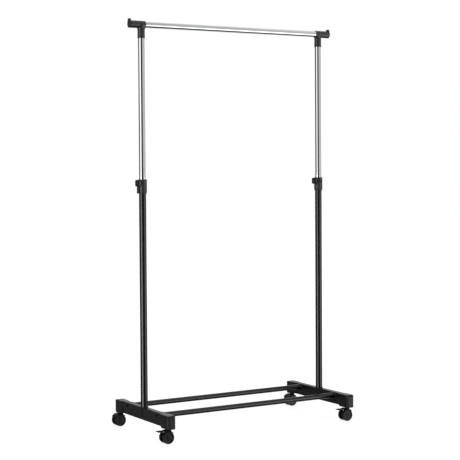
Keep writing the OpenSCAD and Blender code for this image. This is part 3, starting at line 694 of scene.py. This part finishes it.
def buildStudio():
    world = bpy.data.worlds.new("studio")
    bpy.context.scene.world = world
    world.use_nodes = True
    tree = world.node_tree
    tree.nodes.clear()
    way = addNode(tree, "ShaderNodeTexCoord").outputs["Generated"]
    yaw = math.radians(view["yaw"])
    lowered = addNode(tree, "ShaderNodeVectorMath", {"operation": "MULTIPLY", 1: (1, 1, studio["reach"])},
                      {0: way})
    level = addNode(tree, "ShaderNodeVectorMath", {"operation": "NORMALIZE"}, {0: lowered.outputs[0]})
    behind = addNode(tree, "ShaderNodeVectorMath", {
        "operation": "DOT_PRODUCT", 1: (math.sin(yaw), math.cos(yaw), 0)}, {0: level.outputs[0]})
    sides = faded(tree, behind.outputs["Value"], studio["sidesOver"], 0.0, studio["sides"])
    glow = faded(tree, behind.outputs["Value"], studio["backdropOver"], 0.0, studio["backdrop"])
    total = addNode(tree, "ShaderNodeMath", {"operation": "ADD"}, {0: sides, 1: glow})
    grey = addNode(tree, "ShaderNodeBackground", {"Color": hexColour(studio["ambient"])})
    lit = addNode(tree, "ShaderNodeBackground", {"Color": (1, 1, 1, 1)}, {"Strength": total.outputs[0]})
    both = addNode(tree, "ShaderNodeAddShader", links={0: grey.outputs[0], 1: lit.outputs[0]})
    white = addNode(tree, "ShaderNodeBackground", {"Color": (1, 1, 1, 1)})
    seen = addNode(tree, "ShaderNodeLightPath").outputs["Is Camera Ray"]
    mix = addNode(tree, "ShaderNodeMixShader", links={0: seen, 1: both.outputs[0], 2: white.outputs[0]})
    addNode(tree, "ShaderNodeOutputWorld", links={"Surface": mix.outputs[0]})

    toCamera = Vector((-math.sin(yaw), -math.cos(yaw), 0))
    toLeft = Vector((-math.cos(yaw), math.sin(yaw), 0))
    for name, (turn, far, high, wide, tall, bright) in panels.items():
        a = math.radians(turn)
        spot = (toCamera * math.cos(a) + toLeft * math.sin(a)) * far + Vector((0, 0, high))
        addPanel(name, spot, Vector((0, 0, high)), wide, tall, bright)
    spot, wide, bright = studio["top"]
    addPanel("topPanel", Vector(spot), Vector((spot[0], spot[1], 0)), wide, wide, bright)

    size = studio["floorHalf"]
    mesh = bpy.data.meshes.new("paleFloor")
    corners = [(-size, -size, 0), (size, -size, 0), (size, size, 0), (-size, size, 0)]
    mesh.from_pydata(corners, [], [(0, 1, 2, 3)])
    floor = bpy.data.objects.new("paleFloor", mesh)
    bpy.context.scene.collection.objects.link(floor)
    floor.location.z = -studio["floorDrop"]
    floor.visible_glossy = floor.visible_shadow = False      # the panels' lower ends show in the low tubes
    finish, tree, place = newFinish("matteBackdropPaper")
    cloud = addNode(tree, "ShaderNodeTexNoise", {"Scale": studio["paperClouds"], "Detail": 2},
                    {"Vector": place})
    paper = addNode(tree, "ShaderNodeBsdfPrincipled", {"Roughness": 0.9, "Specular IOR Level": 0.1},
                    {"Base Color": tinted(tree, cloud, *studio["paper"])})
    away = addNode(tree, "ShaderNodeVectorMath", {"operation": "LENGTH"}, {0: place})
    fade = faded(tree, away.outputs["Value"], studio["floorFade"], studio["floorLift"], 1.0)
    lift = addNode(tree, "ShaderNodeEmission", links={"Strength": fade})
    seen = addNode(tree, "ShaderNodeLightPath").outputs["Is Camera Ray"]
    none = addNode(tree, "ShaderNodeEmission", {"Strength": 0.0})
    shown = addNode(tree, "ShaderNodeMixShader", links={0: seen, 1: none.outputs[0], 2: lift.outputs[0]})
    closeFinish(tree, addNode(tree, "ShaderNodeAddShader", links={0: paper.outputs[0], 1: shown.outputs[0]}))
    mesh.materials.append(finish)


def addPanel(name, spot, aim, wide, tall, bright):
    light = bpy.data.lights.new(name, "AREA")
    light.shape = "RECTANGLE"
    light.size, light.size_y, light.energy = wide, tall, bright * math.pi * wide * tall
    lamp = bpy.data.objects.new(name, light)
    lamp.location = spot
    lamp.rotation_euler = (aim - spot).to_track_quat("-Z", "Y").to_euler()
    lamp.visible_camera = False
    bpy.context.scene.collection.objects.link(lamp)


def buildCamera():
    lens = bpy.data.cameras.new("productCamera")
    lens.lens, lens.sensor_width, lens.clip_end = view["lens"], 36, 100
    lens.shift_y = view["shift"]
    camera = bpy.data.objects.new("productCamera", lens)
    camera.location = view["place"]
    turn = Euler((math.radians(90 - view["pitch"]), 0, -math.radians(view["yaw"]))).to_quaternion()
    camera.rotation_euler = (turn @ Quaternion((0, 0, 1), math.radians(view["roll"]))).to_euler()
    bpy.context.scene.collection.objects.link(camera)
    bpy.context.scene.camera = camera
    bpy.context.scene.view_settings.view_transform = "Standard"


buildStudio()
buildCamera()
print("studio ready")
